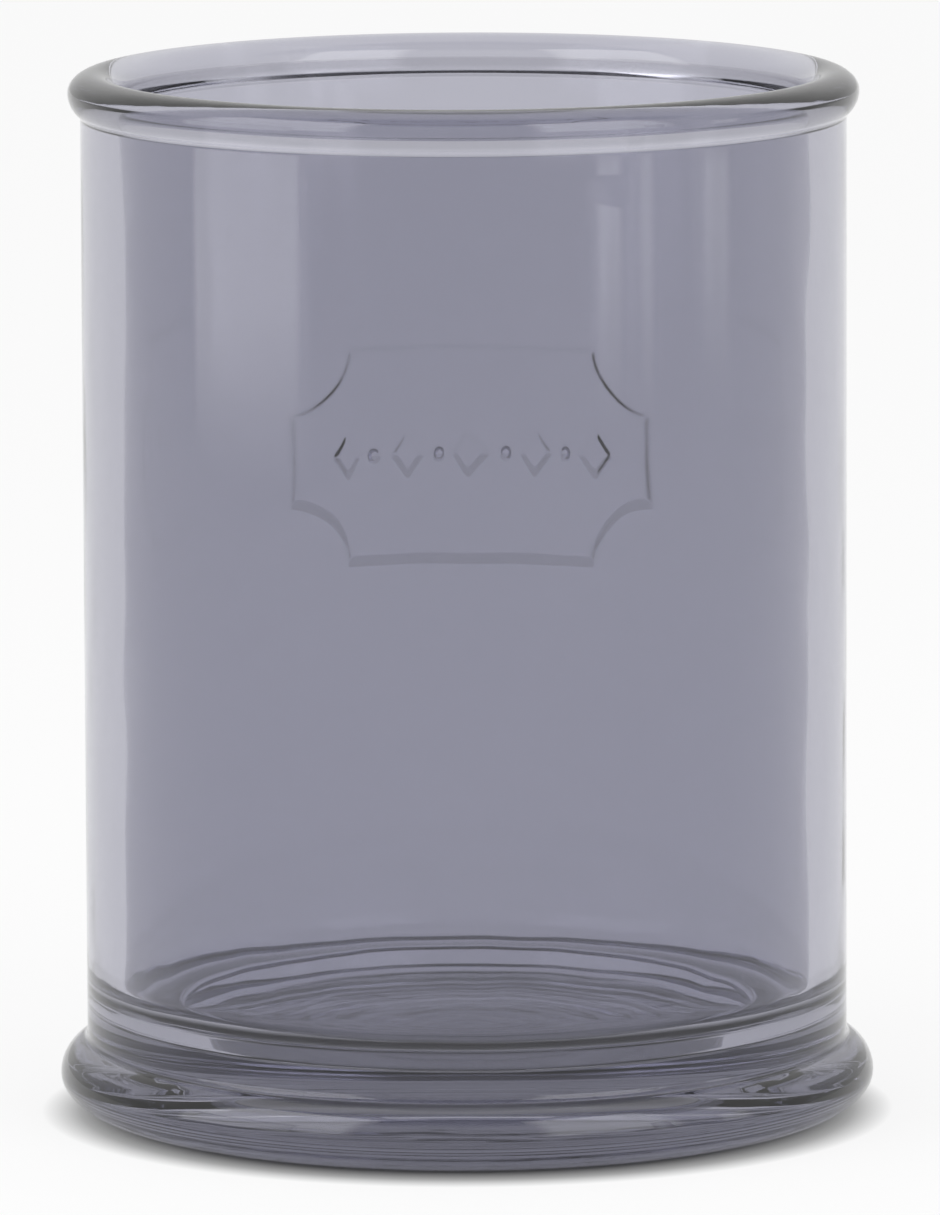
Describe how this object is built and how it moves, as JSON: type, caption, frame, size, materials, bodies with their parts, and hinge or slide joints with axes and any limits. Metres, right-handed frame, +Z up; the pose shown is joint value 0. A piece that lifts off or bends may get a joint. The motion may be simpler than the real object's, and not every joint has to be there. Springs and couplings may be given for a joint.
{
  "type": "bathroom tumbler",
  "caption": "Straight-sided smoked-glass tumbler with rolled rim, flared foot and a raised notched panel, for water or toothbrushes at a washbasin.",
  "frame": {"origin": "middle of the standing face, on the tumbler's axis", "axes": "+Z up along the axis, +Y towards the raised panel, +X completes a right-handed frame"},
  "size_m": [0.082, 0.082, 0.105],
  "materials": {
    "smoked_glass": "pressed and fire-polished, smoky grey with a slight violet tint"
  },
  "bodies": {
    "root": {"foot_disc": "smoked_glass", "cup_floor": "smoked_glass", "side_wall": "smoked_glass", "rim_bead": "smoked_glass", "label_panel": "smoked_glass", "panel_lozenges": "smoked_glass", "panel_pips": "smoked_glass"}
  },
  "joints": []
}
